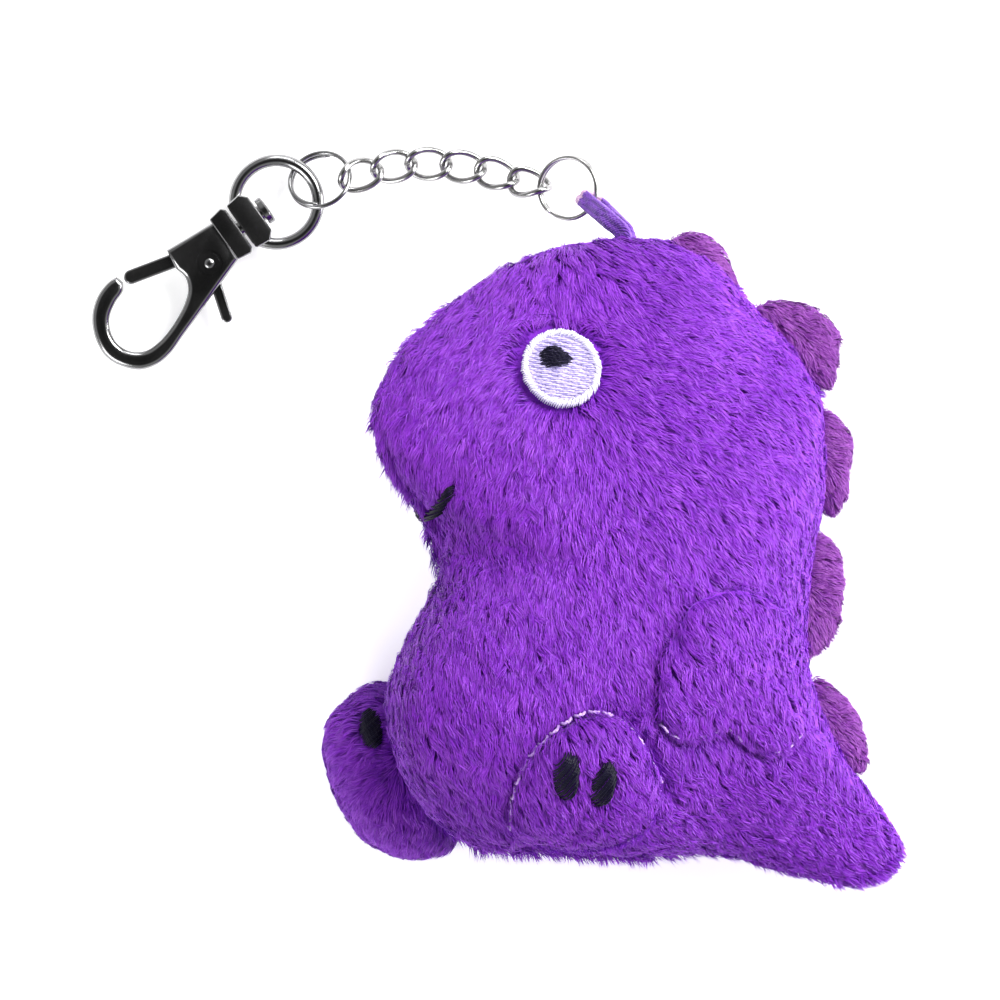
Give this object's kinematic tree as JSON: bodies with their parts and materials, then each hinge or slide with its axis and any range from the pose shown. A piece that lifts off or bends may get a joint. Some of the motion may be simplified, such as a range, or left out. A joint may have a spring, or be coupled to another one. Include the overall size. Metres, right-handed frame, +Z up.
{
  "type": "plush keychain",
  "caption": "Small stuffed plush dinosaur keychain with back fins, on a sewn loop, split rings, a curb chain and a swivel trigger clasp.",
  "frame": {"origin": "bottom centre of the bounding box, on the table that the keychain lies on", "axes": "+Z up from the table, +Y toward the toy's head, +X toward the toy's back; the toy lies on its right side"},
  "size_m": [0.1198, 0.1112, 0.04],
  "materials": {
    "plush_pile": "short purple pile fabric with a soft sheen",
    "fin_pile": "short magenta-violet pile fabric",
    "stuffing_fibre": "white polyester fibre filling",
    "eye_embroidery": "white embroidery with a satin-stitch border",
    "dark_embroidery": "near-black satin-stitch embroidery",
    "topstitch_thread": "light lilac sewing thread",
    "loop_webbing": "purple woven tape",
    "bright_nickel": "bright nickel plate",
    "gunmetal": "polished black-nickel plate",
    "spring_wire": "bare spring wire"
  },
  "bodies": {
    "plush_toy": {"back_fin_1": "fin_pile", "back_fin_2": "fin_pile", "back_fin_3": "fin_pile", "back_fin_4": "fin_pile", "back_fin_5": "fin_pile", "belly_gusset": "plush_pile", "eye_left": "eye_embroidery", "eye_right": "eye_embroidery", "foot_left": "plush_pile", "foot_right": "plush_pile", "leg_topstitch": "topstitch_thread", "mouth_left": "dark_embroidery", "mouth_right": "dark_embroidery", "pupil_left": "dark_embroidery", "pupil_right": "dark_embroidery", "side_panel_left": "plush_pile", "side_panel_right": "plush_pile", "stuffing": "stuffing_fibre", "toe_left_front": "dark_embroidery", "toe_left_rear": "dark_embroidery", "toe_right_front": "dark_embroidery", "wing_left": "plush_pile", "wing_right": "plush_pile", "wing_topstitch": "topstitch_thread"},
    "loop": {"hanging_loop": "loop_webbing"},
    "lower_ring": {"split_ring_lower": "bright_nickel"},
    "link_1": {"chain_link_1": "bright_nickel"},
    "link_2": {"chain_link_2": "bright_nickel"},
    "link_3": {"chain_link_3": "bright_nickel"},
    "link_4": {"chain_link_4": "bright_nickel"},
    "link_5": {"chain_link_5": "bright_nickel"},
    "link_6": {"chain_link_6": "bright_nickel"},
    "upper_ring": {"split_ring_upper": "gunmetal"},
    "clasp_eye": {"swivel_eye": "gunmetal"},
    "clasp_hook": {"hook_body": "gunmetal", "swivel_rivet": "gunmetal", "gate_pin": "gunmetal"},
    "clasp_gate": {"gate": "gunmetal", "gate_spring": "spring_wire"}
  },
  "joints": [
    {"name": "loop_swing", "type": "hinge", "parent": "plush_toy", "child": "loop", "pos_m": [0.02026, 0.04236, 0.01733], "axis": [0, 0, 1], "range_deg": [-12, 12]},
    {"name": "lower_ring_swing", "type": "hinge", "parent": "loop", "child": "lower_ring", "pos_m": [0.01554, 0.04686, 0.00983], "axis": [0, 0, -1], "range_deg": [-15, 15]},
    {"name": "link_1_swing", "type": "hinge", "parent": "lower_ring", "child": "link_1", "pos_m": [0.00843, 0.04929, 0.0068], "axis": [0, 0, 1], "range_deg": [-15, 15]},
    {"name": "link_2_swing", "type": "hinge", "parent": "link_1", "child": "link_2", "pos_m": [0.00363, 0.05049, 0.0049], "axis": [0, 0, -1], "range_deg": [-18, 18]},
    {"name": "link_3_swing", "type": "hinge", "parent": "link_2", "child": "link_3", "pos_m": [-0.0013, 0.05209, 0.0038], "axis": [0, 0, 1], "range_deg": [-18, 18]},
    {"name": "link_4_swing", "type": "hinge", "parent": "link_3", "child": "link_4", "pos_m": [-0.00652, 0.05282, 0.0032], "axis": [0, 0, -1], "range_deg": [-18, 18]},
    {"name": "link_5_swing", "type": "hinge", "parent": "link_4", "child": "link_5", "pos_m": [-0.01181, 0.05301, 0.003], "axis": [0, 0, 1], "range_deg": [-18, 18]},
    {"name": "link_6_swing", "type": "hinge", "parent": "link_5", "child": "link_6", "pos_m": [-0.017, 0.05209, 0.0035], "axis": [0, 0, -1], "range_deg": [-18, 18]},
    {"name": "upper_ring_swing", "type": "hinge", "parent": "link_6", "child": "upper_ring", "pos_m": [-0.02186, 0.05042, 0.0048], "axis": [0, 0, 1], "range_deg": [-18, 18]},
    {"name": "clasp_eye_swing", "type": "hinge", "parent": "upper_ring", "child": "clasp_eye", "pos_m": [-0.02809, 0.04918, 0.0034], "axis": [0, 0, -1], "range_deg": [-14, 14]},
    {"name": "clasp_swivel", "type": "hinge", "parent": "clasp_eye", "child": "clasp_hook", "pos_m": [-0.03374, 0.04599, 0.0034], "axis": [0.8141, 0.5807, 0], "continuous": true},
    {"name": "gate_swing", "type": "hinge", "parent": "clasp_hook", "child": "clasp_gate", "pos_m": [-0.0422, 0.03787, 0.0034], "axis": [0, 0, 1], "range_deg": [0, 22], "stiffness_Nm_per_rad": 0.03, "springref_deg": -20.05}
  ]
}
